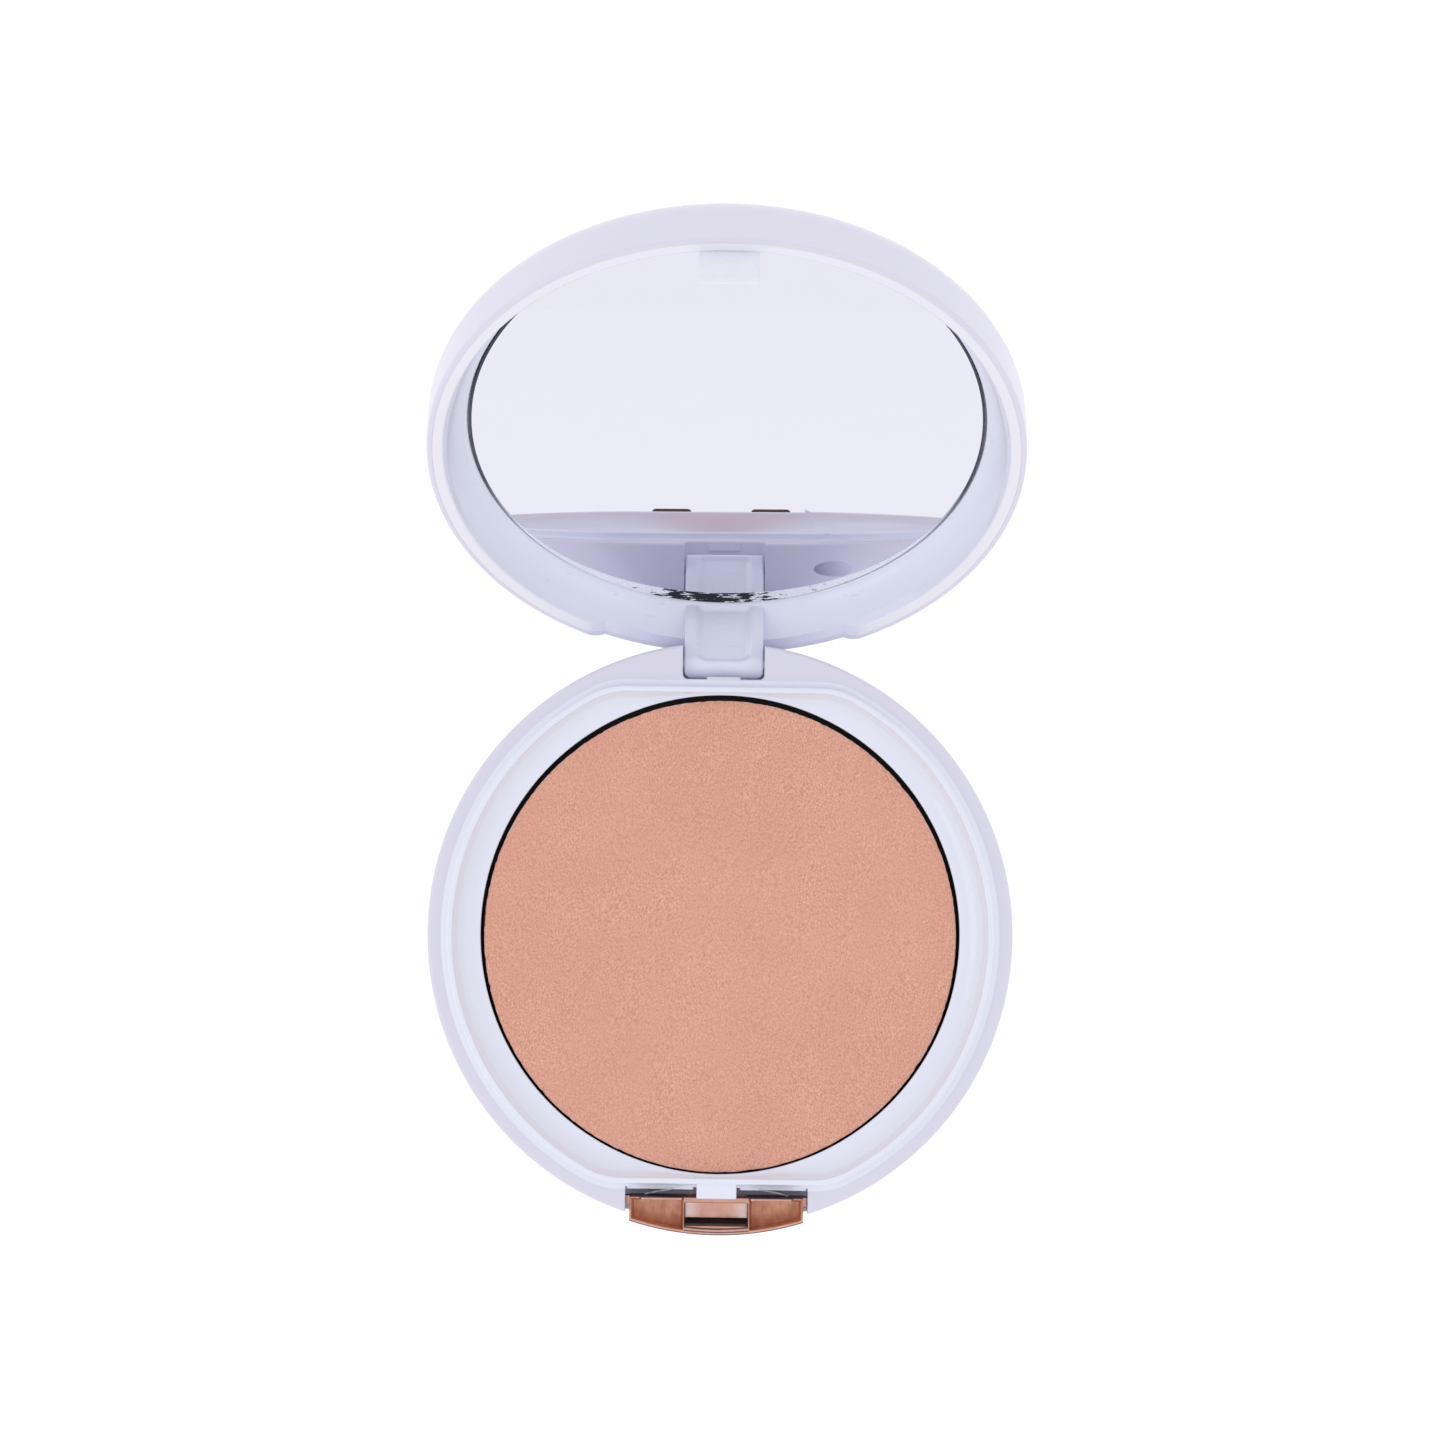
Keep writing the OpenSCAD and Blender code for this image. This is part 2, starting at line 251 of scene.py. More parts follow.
def across(name, outline, x0, x1):
    """Solid from an outline in the Y-Z plane, from x0 to x1."""
    return loft(name, [np.array([(x, y, z) for y, z in outline]) for x in (x0, x1)])


def along_y(name, outline, y0, y1):
    """Solid from an outline in the X-Z plane, from y0 to y1."""
    return loft(name, [np.array([(x, y, z) for x, z in outline]) for y in (y0, y1)])


def rounded_box(name, low, high, r):
    """Box whose edges are all rounded by r."""
    box = stack(name, [
        (rectangle(low[0], high[0], low[1], high[1]), low[2]),
        (rectangle(low[0], high[0], low[1], high[1]), high[2]),
    ])
    soften(box, r, 3)
    return box


def rectangle(x0, x1, y0, y1):
    return [(x0, y0), (x1, y0), (x1, y1), (x0, y1)]


def bake(piece):
    """Applies the modifiers of a piece."""
    graph = bpy.context.evaluated_depsgraph_get()
    mesh = bpy.data.meshes.new_from_object(piece.evaluated_get(graph))
    piece.modifiers.clear()
    piece.data = mesh


def soften(piece, width, segments, angle=40):
    """Rounds the sharp edges of a piece."""
    bevel = piece.modifiers.new("soften", "BEVEL")
    bevel.width = width
    bevel.segments = segments
    bevel.limit_method = "ANGLE"
    bevel.angle_limit = radians(angle)
    bake(piece)


def combine(piece, other, operation):
    """Joins other to piece or cuts it out, and removes other."""
    step = piece.modifiers.new("combine", "BOOLEAN")
    step.operation = operation
    step.solver = "EXACT"
    step.object = other
    bake(piece)
    bpy.data.objects.remove(other)


def cut(piece, *cutters):
    for cutter in cutters:
        combine(piece, cutter, "DIFFERENCE")


def add(piece, *others):
    for other in others:
        combine(piece, other, "UNION")


def place(piece, matrix, body, material, node):
    """Moves a finished piece to its place, paints it and lets it stand for its CAD node."""
    piece.data.transform(matrix)
    piece.data.polygons.foreach_set("use_smooth", [True] * len(piece.data.polygons))
    piece.data.set_sharp_from_angle(angle=radians(32))
    normals = piece.modifiers.new("even_shading", "WEIGHTED_NORMAL")
    normals.keep_sharp = True
    piece.data.materials.clear()
    piece.data.materials.append(material)
    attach(piece, body)
    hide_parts(node)
    return piece


# ---- material helpers ------------------------------------------------------------------------

def colour(red, green, blue):
    """Linear colour from display values 0 to 255."""
    def linear(v):
        v = v / 255
        return v / 12.92 if v <= 0.04045 else ((v + 0.055) / 1.055) ** 2.4
    return (linear(red), linear(green), linear(blue), 1)


class Paint:
    """Small wrapper for building one procedural material."""

    def __init__(self, name, **values):
        self.material = bpy.data.materials.new(name)
        self.material.use_nodes = True
        self.tree = self.material.node_tree
        self.shader = self.tree.nodes["Principled BSDF"]
        for key, value in values.items():
            self.shader.inputs[key.replace("_", " ").capitalize()
                               if key != "ior" else "IOR"].default_value = value
        self.place = self.tree.nodes.new("ShaderNodeTexCoord").outputs["Object"]

    def node(self, kind, **links):
        made = self.tree.nodes.new(kind)
        for key, value in links.items():
            socket = made.inputs[key.replace("_", " ")]
            if isinstance(value, bpy.types.NodeSocket):
                self.tree.links.new(value, socket)
            else:
                socket.default_value = value
        return made

    def stretched(self, scale, turn=0.0):
        """Object coordinates turned about z by turn degrees and scaled along each axis."""
        made = self.node("ShaderNodeMapping", Vector=self.place)
        made.vector_type = "TEXTURE"
        made.inputs["Scale"].default_value = scale
        made.inputs["Rotation"].default_value = (0, 0, radians(turn))
        return made.outputs[0]

    def noise(self, size, detail=2.0, where=None, roughness=0.5):
        """Noise whose features are about size metres across."""
        made = self.node("ShaderNodeTexNoise", Vector=where or self.place, Scale=1 / size,
                         Detail=detail, Roughness=roughness)
        return made.outputs["Fac"]

    def math(self, operation, a, b=0.0):
        made = self.tree.nodes.new("ShaderNodeMath")
        made.operation = operation
        for socket, value in zip(made.inputs, (a, b)):
            if isinstance(value, bpy.types.NodeSocket):
                self.tree.links.new(value, socket)
            else:
                socket.default_value = value
        return made.outputs[0]

    def span(self, value, low, high, to_low=0.0, to_high=1.0):
        """Maps value from low..high to to_low..to_high, clamped."""
        made = self.node("ShaderNodeMapRange", Value=value)
        made.inputs["From Min"].default_value = low
        made.inputs["From Max"].default_value = high
        made.inputs["To Min"].default_value = to_low
        made.inputs["To Max"].default_value = to_high
        return made.outputs[0]

    def blend(self, amount, a, b):
        made = self.tree.nodes.new("ShaderNodeMix")
        made.data_type = "RGBA"
        for socket, value in ((made.inputs[0], amount), (made.inputs[6], a), (made.inputs[7], b)):
            if isinstance(value, bpy.types.NodeSocket):
                self.tree.links.new(value, socket)
            else:
                socket.default_value = value
        return made.outputs[2]

    def axes(self):
        made = self.node("ShaderNodeSeparateXYZ", Vector=self.place)
        return made.outputs

    def wire(self, value, socket):
        self.tree.links.new(value, self.shader.inputs[socket])

    def bump(self, height, strength, distance):
        made = self.node("ShaderNodeBump", Height=height, Strength=strength, Distance=distance)
        self.wire(made.outputs[0], "Normal")


# ---- materials -------------------------------------------------------------------------------

def plastic(name, tone, shade, gloss, speckle=0.5, worn=False):
    """Moulded plastic with a fine pearl speckle and a faint painted glow."""
    paint = Paint(name, roughness=gloss, ior=1.47)
    grain = paint.noise(0.00016, 2.0)
    cloud = paint.noise(0.012, 2.0)
    flecks = paint.span(grain, 0.5 - 0.2 * speckle, 0.5 + 0.2 * speckle)
    body = paint.blend(cloud, tone, shade)
    tone = paint.blend(paint.math("MULTIPLY", flecks, 0.3 * speckle), body, shade)
    # Painted glow: the tone is also emitted at 3 % strength, standing in for light that shines through
    # the plastic and lifting its shade.
    paint.wire(tone, "Emission Color")
    paint.shader.inputs["Emission Strength"].default_value = 0.03
    paint.wire(scratched(paint, tone) if worn else tone, "Base Color")
    paint.wire(paint.span(cloud, 0.0, 1.0, gloss * 0.98, gloss * 1.02), "Roughness")
    paint.bump(paint.noise(0.0003, 2.0), 0.12, 0.00002)
    return paint.material


def scratched(paint, tone):
    """Adds a few faint scratches to a tone."""
    marks = paint.noise(0.0011, 2.0, paint.stretched((12, 1, 1), 6))
    return paint.blend(paint.span(marks, 0.70, 0.73, 0, 0.35), tone, colour(200, 206, 224))


def glowing_thin_plastic():
    """Thin plastic for the tongue, with a painted glow that stands in for light shining through it."""
    paint = Paint("thin_glow_paint", roughness=0.15, ior=1.47)
    cloud = paint.noise(0.0015, 3.0)
    paint.wire(paint.blend(cloud, colour(232, 233, 242), colour(224, 227, 238)), "Base Color")
    # Painted glow: a faint emitted tone makes the tongue look lit from behind.
    paint.wire(paint.blend(cloud, (0.06, 0.06, 0.065, 1), (0.045, 0.045, 0.05, 1)), "Emission Color")
    paint.shader.inputs["Emission Strength"].default_value = 1.0
    paint.bump(paint.noise(0.0006, 2.0, paint.stretched((3, 1, 1))), 0.1, 0.00003)
    return paint.material


def powder_paint():
    """Pressed powder: short combed strokes in two directions, small pits and a crumbly edge."""
    paint = Paint("powder_paint", roughness=0.95, ior=1.35)
    side = paint.span(paint.noise(0.02, 1.0), 0.4, 0.6)
    left = paint.noise(0.00008, 2.0, paint.stretched((1, 4, 1), 26), 0.6)
    right = paint.noise(0.00008, 2.0, paint.stretched((1, 4, 1), -26), 0.6)
    grain = paint.noise(0.0001, 3.0, None, 0.6)
    height = paint.math("ADD", paint.math("MULTIPLY", left, side),
                        paint.math("MULTIPLY", right, paint.math("SUBTRACT", 1.0, side)))
    # Painted shade and highlight: the strokes' low parts are coloured darker and their high parts
    # lighter, on top of the bump.
    tone = paint.blend(paint.span(height, 0.38, 0.62), colour(207, 145, 124), colour(249, 193, 171))
    cloud = paint.span(paint.noise(0.009, 3.0), 0.35, 0.65, 0, 0.3)
    tone = paint.blend(cloud, tone, colour(221, 159, 139))
    # Painted shade: the pits, which the bump sinks, are coloured darker too.
    tone = paint.blend(paint.span(grain, 0.32, 0.40, 0.45, 0.0), tone, colour(176, 112, 92))
    x, y = paint.axes()[:2]
    y = paint.math("SUBTRACT", y, PAN_SHIFT * MM)
    far = paint.math("SQRT", paint.math("ADD", paint.math("MULTIPLY", x, x),
                                        paint.math("MULTIPLY", y, y)))
    ragged = paint.math("ADD", far, paint.math("MULTIPLY", paint.noise(0.0006, 3.0), 0.0006))
    rim = paint.span(ragged, (POWDER_R + 0.16) * MM, (POWDER_R + 0.3) * MM, 0, 0.6)
    paint.wire(paint.blend(rim, tone, colour(240, 214, 214)), "Base Color")
    rough = paint.math("ADD", height, paint.math("MULTIPLY", grain, 0.5))
    paint.bump(rough, 0.8, 0.00008)
    return paint.material


def rose_metal():
    """Metallised plastic in rose gold, with a fine uneven sheen and a painted reflection on the
    channel's floor.
    """
    paint = Paint("rose_metal", metallic=1.0, roughness=0.2)
    cloud = paint.noise(0.0022, 3.0)
    tone = paint.blend(paint.span(cloud, 0.3, 0.7), colour(226, 176, 164), colour(212, 160, 146))
    x, _, z = paint.axes()[:3]
    # Painted reflection: the sides of the channel's deep floor are paled towards white, standing in
    # for the white tray reflected there.
    ends = paint.math("MULTIPLY", paint.span(paint.math("ABSOLUTE", x), 0.0018, 0.0036),
                      paint.span(z, (BASE_H - 4) * MM, (BASE_H - 3.5) * MM, 0.6, 0.0))
    paint.wire(paint.blend(ends, tone, colour(244, 232, 230)), "Base Color")
    paint.wire(paint.span(paint.noise(0.0008, 3.0), 0.3, 0.7, 0.13, 0.24), "Roughness")
    paint.bump(paint.noise(0.0012, 2.0), 0.15, 0.00003)
    return paint.material


def dull_shaded_rose():
    """The duller, streaky inside of the button's pockets; its darker tone is partly painted shade of
    the deep pockets.
    """
    paint = Paint("dull_shaded_rose", metallic=0.75, roughness=0.42)
    streaks = paint.noise(0.0009, 4.0, paint.stretched((1, 2.4, 1)), 0.6)
    grain = paint.noise(0.00016, 2.0)
    tone = paint.blend(paint.span(streaks, 0.35, 0.65), colour(226, 170, 143), colour(204, 146, 120))
    tone = paint.blend(paint.span(grain, 0.62, 0.72, 0, 0.5), tone, colour(236, 190, 166))
    paint.wire(tone, "Base Color")
    paint.wire(paint.span(streaks, 0.3, 0.7, 0.32, 0.5), "Roughness")
    paint.bump(grain, 0.3, 0.00003)
    return paint.material


def shade_brown():
    """Dark brown for the button: painted shade in its groove, on the channel's sides, on the raised
    walls and in lines across the front; on its uncoated rear it is also the plain plastic.
    """
    paint = Paint("shade_brown", roughness=0.45)
    cloud = paint.noise(0.0007, 3.0)
    paint.wire(paint.blend(paint.span(cloud, 0.3, 0.7), colour(80, 64, 62), colour(100, 80, 76)),
               "Base Color")
    paint.bump(cloud, 0.2, 0.00003)
    return paint.material


def metal(name, tone, shade, rough, size):
    """Plain metal with fine mottling."""
    paint = Paint(name, metallic=1.0, roughness=rough)
    cloud = paint.noise(size, 4.0)
    paint.wire(paint.blend(paint.span(cloud, 0.3, 0.7), tone, shade), "Base Color")
    paint.wire(paint.span(cloud, 0.3, 0.7, rough * 0.8, rough * 1.2), "Roughness")
    paint.bump(cloud, 0.1, 0.00002)
    return paint.material


def mirror_paint():
    """Silvered glass with a faint unevenness in its tint."""
    paint = Paint("mirror_paint", metallic=1.0, roughness=0.0)
    paint.wire(paint.blend(paint.noise(0.004, 2.0), colour(228, 227, 236), colour(226, 226, 236)),
               "Base Color")
    return paint.material


def edge_paint():
    """The mirror's ground edge: pale near the hinge and dark slate further round, with black flecks
    that crowd by the hinge.
    """
    paint = Paint("mirror_edge_paint", metallic=0.35, roughness=0.3)
    x, y = paint.axes()[:2]
    fine = paint.noise(0.0004, 4.0, paint.stretched((4, 1, 1)), 0.65)
    coarse = paint.noise(0.0024, 2.0)
    off = paint.math("ABSOLUTE", paint.math("ADD", x, 0.0017))
    dense = paint.span(off, 0.0045, 0.0085, 0.16, -0.02)
    sparse = paint.span(off, 0.008, 0.025, -0.01, -0.12)
    hinge = paint.span(y, 0.043, 0.052, 0.0, -0.4)
    # Mask for the black flecks: noise, densest round the middle by the hinge, none far from it.
    worn = paint.math("ADD", paint.math("ADD", fine, paint.math("MULTIPLY", coarse, 0.35)),
                      paint.math("ADD", paint.math("MAXIMUM", dense, sparse), hinge))
    silver = paint.blend(paint.span(y, 0.050, 0.056), colour(244, 245, 252), colour(74, 78, 96))
    paint.wire(paint.blend(paint.span(worn, 0.74, 0.77), silver, colour(22, 22, 34)), "Base Color")
    paint.wire(paint.span(fine, 0.3, 0.7, 0.2, 0.4), "Roughness")
    return paint.material


def paper(name, tone, shade, rough):
    """Matt film, glue or paper with faint fibres; also the dark painted shade in the tray's well."""
    paint = Paint(name, roughness=rough)
    fibres = paint.noise(0.0004, 4.0, paint.stretched((1, 3, 1), 30))
    paint.wire(paint.blend(paint.span(fibres, 0.3, 0.7), tone, shade), "Base Color")
    paint.bump(fibres, 0.1, 0.00002)
    return paint.material


# ---- base ------------------------------------------------------------------------------------

def base_profile():
    """Rings of the base shell from the middle of its underside round to its inner floor."""
    rim = tub(TRAY_R + 0.05, TRAY_FLAT + 0.05)
    under = -BASE_H
    side = CASE_R - BASE_ROUND
    rings = [polar(0, under + LABEL_T), polar(LABEL_R + 0.2, under + LABEL_T),
             polar(LABEL_R + 0.2, under)]
    rings += [polar(r, z) for r, z in arc(side, under + BASE_ROUND, BASE_ROUND, -90, 0, 20)]
    rings += [polar(r, z) for r, z in arc(CASE_R - RIM_ROUND, -RIM_ROUND, RIM_ROUND, 0, 90, 8)]
    rings += [polar(rim + 0.08, 0), polar(rim, -0.08), polar(rim, -5.5)]
    rings += [polar(29.5, under + 1.7), polar(0, under + 1.5)]
    return rings


def notch_cutter():
    """Room for the lid's tab. Its floor slopes like the open tab's underside."""
    a = radians(OPEN)
    start = HINGE_Y - NOTCH_R
    outline = [(start, 3), (start, HINGE_Z)]
    outline += arc(HINGE_Y, HINGE_Z, NOTCH_R, 185, 360 - OPEN, 9)
    low = outline[-1]
    outline += [(low[0] + 8 * sin(a), low[1] + 8 * cos(a)), (low[0] + 8 * sin(a), 3)]
    half = TAB_HALF + TAB_GAP
    notch = across("notch_cutter", outline, -half, half)
    plan = slot_outline(half, start, FAR, NOTCH_CORNER)
    combine(notch, stack("notch_plan", [(plan, -BASE_H), (plan, 4)]), "INTERSECT")
    return notch


def slot_outline(x, y0, y1, corner):
    """Plan of a slot with half width x whose corners at y0 are rounded."""
    left = arc(corner - x, y0 + corner, corner, 180, 270, 8)
    right = arc(x - corner, y0 + corner, corner, 270, 360, 8)
    return left + right + [(x, y1), (-x, y1)]


def flare(name, x, y0, y1, corner, r):
    """Cutter that rounds the upper edges of a slot."""
    levels = []
    for a in np.radians(np.linspace(0, 90, 5)):
        out = r * (1 - cos(a))
        levels.append((slot_outline(x + out, y0 - out, y1 + out, corner + out), -r + r * sin(a)))
    levels.append((slot_outline(x + r, y0 - r, y1 + r, corner + r), 1))
    return stack(name, levels)


def bar(name, r, x0, x1):
    """Round bar along X at the hinge axis."""
    steps = 48
    return across(name, arc(HINGE_Y, HINGE_Z, r, 0, 360 - 360 / steps, steps), x0, x1)


def lid_sweep(back):
    """Room that the lid's edge needs in the base's rear wall when it is fully open."""
    room = revolve("lid_room", [(0, RELIEF_H - 0.25), (CASE_R + 0.25, RELIEF_H - 0.25),
                                (CASE_R + 0.25, LID_H), (0, LID_H)])
    room.data.transform(turned(OPEN - back))
    return room


def build_base(material):
    """Base shell with the notch, the pin's hole, the button's slot and the detent nub."""
    shell = loft("base_case", base_profile())
    cut(shell, notch_cutter(),
        flare("notch_flare", TAB_HALF + TAB_GAP, HINGE_Y - NOTCH_R, FAR, NOTCH_CORNER, 0.22))
    cut(shell, lid_sweep(0), lid_sweep(6))
    cut(shell, bar("pin_hole", PIN_HOLE_R, PIN_END, ENTRY_X + 0.1),
        bar("pin_entry", ENTRY_R, ENTRY_X, FAR))
    slot = rectangle(-SLOT_X, SLOT_X, -FAR, -31)
    cut(shell, stack("slot_cutter", [(slot, SLOT_Z), (slot, 2)]),
        flare("slot_flare", SLOT_X, -FAR, -TRAY_FLAT - 0.05 - 0.18, 0.1, 0.18))
    nub = rounded_box("detent", (-2.1, 31.7, -1.2), (2.1, 32.3, -0.02), 0.15)
    add(shell, nub)
    return place(shell, base_matrix(), "base", material, "base_shell")


# ---- tray ------------------------------------------------------------------------------------

def lip_ring(r, z):
    return polar(tub(r, r - FLAT_IN), z)


def tray_rings():
    """Rings of the tray from the middle of its underside, over the lip and down into the well."""
    body = 31.0
    neck = tub(34.2, 31.1)
    seat = tub(TRAY_R, TRAY_FLAT)
    rings = [polar(0, TRAY_BOTTOM), polar(body, TRAY_BOTTOM), polar(body, -2.8)]
    rings += [polar(neck, -2.8), polar(neck, -5), polar(seat, -5), polar(seat, -0.02)]
    rings += [lip_ring(r, z + 0.012)
              for r, z in arc(LIP_OUT + FILLET, FILLET, FILLET, 270, 180, 9)]
    top = 0.25
    rings += [lip_ring(r, z) for r, z in arc(LIP_OUT - top, LIP_H - top, top, 0, 90, 6)]
    top = 0.2
    rings += [lip_ring(r, z) for r, z in arc(LIP_IN + top, LIP_H - top, top, 90, 180, 6)]
    wall = tub(LIP_IN, LIP_IN - FLAT_IN)
    start = LIP_H - 0.2
    for a in np.radians(np.linspace(5, 90, 15)):
        radii = LEDGE_R + (wall - LEDGE_R) * cos(a)
        rings.append(polar(radii, start + (LEDGE_Z - start) * sin(a)))
    edge = LEDGE_R - WELL_R
    rings += [polar(r, z) for r, z in arc(LEDGE_R, LEDGE_Z - edge, edge, 90, 180, 6)[1:]]
    rings += [polar(WELL_R, WELL_FLOOR), polar(0, WELL_FLOOR)]
    return rings


def build_tray(material, well_shade_material):
    """Tray with its nub, ribs and steps; the well's wall and floor are painted dark as shade, though
    they are white plastic.
    """
    tray = loft("tray", tray_rings())
    front = rectangle(-SLOT_X, SLOT_X, -FAR, -TRAY_FLAT - 0.05)
    cut(tray, stack("front_trim", [(front, -8), (front, 3)]))
    nub = rounded_box("tray_nub", (-2.5, -32.9, 0.02), (2.5, -30.6, 1.0), 0.2)
    add(tray, nub)
    for side in (-1, 1):
        x = side * 4.15
        add(tray, rounded_box("rib", (x - 1.25, GUIDE_Y, -2.6), (x + 1.25, -31, -0.05), 0.12))
        low, high = sorted((side * 5.2, side * 11.25))
        add(tray, rounded_box("step", (low, GUIDE_Y, -2.5), (high, -31.05, -0.32), 0.12))
    place(tray, base_matrix(), "base", material, "inner_tray")
    tray.data.materials.append(well_shade_material)
    # Painted shade: faces of the well's wall and floor below the ledge get the dark paint, so the gap
    # round the pan looks dark.
    for face in tray.data.polygons:
        centre = face.center / MM
        if centre.xy.length < WELL_R + 0.1 and WELL_FLOOR - 0.1 < centre.z - BASE_H < LEDGE_Z - 0.3:
            face.material_index = 1
    return tray


# ---- powder ----------------------------------------------------------------------------------

def build_pan(material):
    """Thin metal dish with a rolled rim."""
    rim = 0.09
    out = PAN_R
    outer = [(0, PAN_LOW), (out - 0.4, PAN_LOW)] + arc(out - 0.4, PAN_LOW + 0.4, 0.4, -80, 0, 6)
    roll = arc(out - rim, min(PAN_TOP, CAKE_TOP - 0.25) - rim, rim, 0, 180, 9)
    inner = [(out - 2 * rim, PAN_LOW + 0.25), (0, PAN_LOW + 0.25)]
    pan = revolve("pan", outer + roll + inner)
    pan.data.transform(Matrix.Translation((0, PAN_SHIFT, 0)))
    return place(pan, base_matrix(), "base", material, "powder_pan")


def powder_height(x, y, waves):
    """Small unevenness of the pressed surface, in millimetres."""
    return sum(a * np.sin(x * fx + y * fy + p) for a, fx, fy, p in waves)


def build_powder(material):
    """Pressed cake with a rounded, slightly crumbled edge."""
    rng = np.random.default_rng(4)
    waves = [(0.006, *rng.uniform(-1.2, 1.2, 2), rng.uniform(0, 6)) for _ in range(10)]
    rim_noise = sum(rng.uniform(0.006, 0.014) * np.sin(k * ANGLES + rng.uniform(0, 6))
                    for k in rng.integers(9, 150, 26))
    rings = [polar(0, CAKE_LOW), polar(CAKE_R - 0.1, CAKE_LOW), polar(CAKE_R - 0.1, CAKE_TOP - 0.5)]
    edge = [(POWDER_R, CAKE_TOP - 0.3), (POWDER_R, CAKE_TOP - 0.16),
            (POWDER_R - 0.08, CAKE_TOP - 0.07), (POWDER_R - 0.2, CAKE_TOP - 0.03)]
    for k, (r, z) in enumerate(edge):
        ring = polar(r, z)
        share = (k + 1) / len(edge)
        ring[:, 2] += -np.abs(rim_noise) * 1.2 * share
        ring[:, :2] *= (1 - np.abs(rim_noise) * 0.9 / r)[:, None]
        rings.append(ring)
    for r in np.linspace(POWDER_R - 0.5, 0.6, 48):
        ring = polar(r, CAKE_TOP - 0.045)
        ring[:, 2] += powder_height(ring[:, 0], ring[:, 1], waves)
        rings.append(ring)
    rings.append(polar(0, CAKE_TOP - 0.04))
    cake = loft("powder", rings)
    cake.data.transform(Matrix.Translation((0, PAN_SHIFT, 0)))
    return place(cake, base_matrix(), "base", material, "powder_cake")


# ---- lid -------------------------------------------------------------------------------------

def relief_cutter():
    """Cut along the skirt's lower edge at the rear, between two rounded lobes."""
    run = sqrt(LOBE_R ** 2 - (LOBE_R - RELIEF_H) ** 2)
    end = RELIEF_X + run
    turn = degrees(asin(run / LOBE_R))
    right = arc(end, LOBE_R, LOBE_R, 270, 270 - turn, 10)
    left = [(-x, z) for x, z in reversed(right)]
    outline = [(-end, -1), (end, -1)] + right + left
    return along_y("relief_cutter", outline, 5, FAR)


def build_cover(material):
    """Lid's outer shell, cut away at the rear where it passes the base."""
    side = CASE_R - LID_ROUND
    profile = [(0, LID_H)]
    profile += arc(side, LID_H - LID_ROUND, LID_ROUND, 90, 0, 16)
    profile += arc(CASE_R - RIM_ROUND, RIM_ROUND, RIM_ROUND, 0, -90, 8)
    profile += [(COVER_IN + 0.02, 0.0), (COVER_IN, 0.03)]
    under = LID_ROUND - 0.65
    profile += arc(COVER_IN - under, COVER_UNDER - under, under, 0, 90, 10)
    profile += [(0, COVER_UNDER)]
    cover = revolve("lid_case", profile)
    cut(cover, relief_cutter())
    return place(cover, lid_matrix(), "lid", material, "lid_cover")


def skirt_profile():
    """Inner side of the lid's frame, from the rim down to the mirror."""
    points = []
    for a in np.radians(np.linspace(0, 90, 14)):
        bowl = (SKIRT_IN + (RIM_IN - 0.1 - SKIRT_IN) * cos(a), SKIRT_Z + (SEAT_Z - SKIRT_Z) * sin(a))
        t = sin(a)
        line = (RIM_IN - 0.1 + (SKIRT_IN - RIM_IN + 0.1) * t, SKIRT_Z + (SEAT_Z - SKIRT_Z) * t)
        mix = 0.6
        points.append((bowl[0] * mix + line[0] * (1 - mix), bowl[1]))
    return points


def tab_loop():
    """Outline of the tab's side, from its root down the inner face, round the pin and up again."""
    face = HINGE_Y - TAB_R
    back = HINGE_Y + TAB_R
    down = [(face, z) for z in np.linspace(SEAT_Z, HINGE_Z, 40)]
    round_end = arc(HINGE_Y, HINGE_Z, TAB_R, 180, 360, 29)[1:]
    up = [(back, z) for z in np.linspace(HINGE_Z, SEAT_Z, 14)[1:]]
    return np.array(down + round_end + up)


def recess_depth(x, gone, end):
    """Depth of the shallow U-shaped recess in the tab at x, at distance gone along its face."""
    a = 3.55 - abs(x)
    b = end - gone
    corner = 1.6
    if a < corner and b < corner:
        inside = corner - sqrt((corner - a) ** 2 + (corner - b) ** 2)
    else:
        inside = min(a, b)
    t = min(max(inside / 0.9, 0), 1) * min(gone / 0.6, 1)
    return 0.5 * (0.6 * t + 0.4 * t * t * (3 - 2 * t))


def ejector_mark(x, z):
    """Shallow round mark that the mould leaves in the recess."""
    d = sqrt(x * x + (z - 1.7) ** 2)
    ring = 0.05 * max(0, 1 - abs(d - 1.45) / 0.16)
    dot = 0.08 * max(0, 1 - d / 0.22)
    return ring + dot


def build_tab():
    """Tab that hangs from the frame and turns on the hinge pin."""
    loop = tab_loop()
    ahead = np.gradient(loop, axis=0)
    ahead /= np.linalg.norm(ahead, axis=1)[:, None]
    inward = np.column_stack([-ahead[:, 1], ahead[:, 0]])
    gone = np.concatenate([[0], np.cumsum(np.linalg.norm(np.diff(loop, axis=0), axis=1))])
    straight = SEAT_Z - HINGE_Z
    edge = 0.28
    flat = TAB_HALF - edge
    ends = [flat + edge * sin(a) for a in np.radians(np.linspace(10, 90, 6))]
    xs = [-x for x in reversed(ends)] + list(np.linspace(-flat, flat, 61)) + ends
    rings = []
    for x in xs:
        past = max(0, abs(x) - flat)
        inset = edge - sqrt(max(edge ** 2 - past ** 2, 0))
        deep = [inset + recess_depth(x, g, straight + 1.0) + ejector_mark(x, p[1]) * (g < straight)
                for g, p in zip(gone, loop)]
        moved = loop + inward * np.array(deep)[:, None]
        rings.append(np.column_stack([np.full(len(moved), x), moved]))
    return loft("tab", rings)


def corner_cutter(side):
    """Rounds one corner of the open tab's end, as seen from above."""
    x = TAB_HALF - TAB_CORNER
    y = HINGE_Y - TAB_R + TAB_CORNER
    plan = arc(x, y, TAB_CORNER, 270, 360, 9) + [(x + 3, y), (x + 3, y - 3), (x, y - 3)]
    plan = [(side * px, py) for px, py in plan]
    cutter = stack("corner_cutter", [(plan, HINGE_Z - 4), (plan, HINGE_Z + 6)])
    cutter.data.transform(turned(OPEN).inverted())
    return cutter


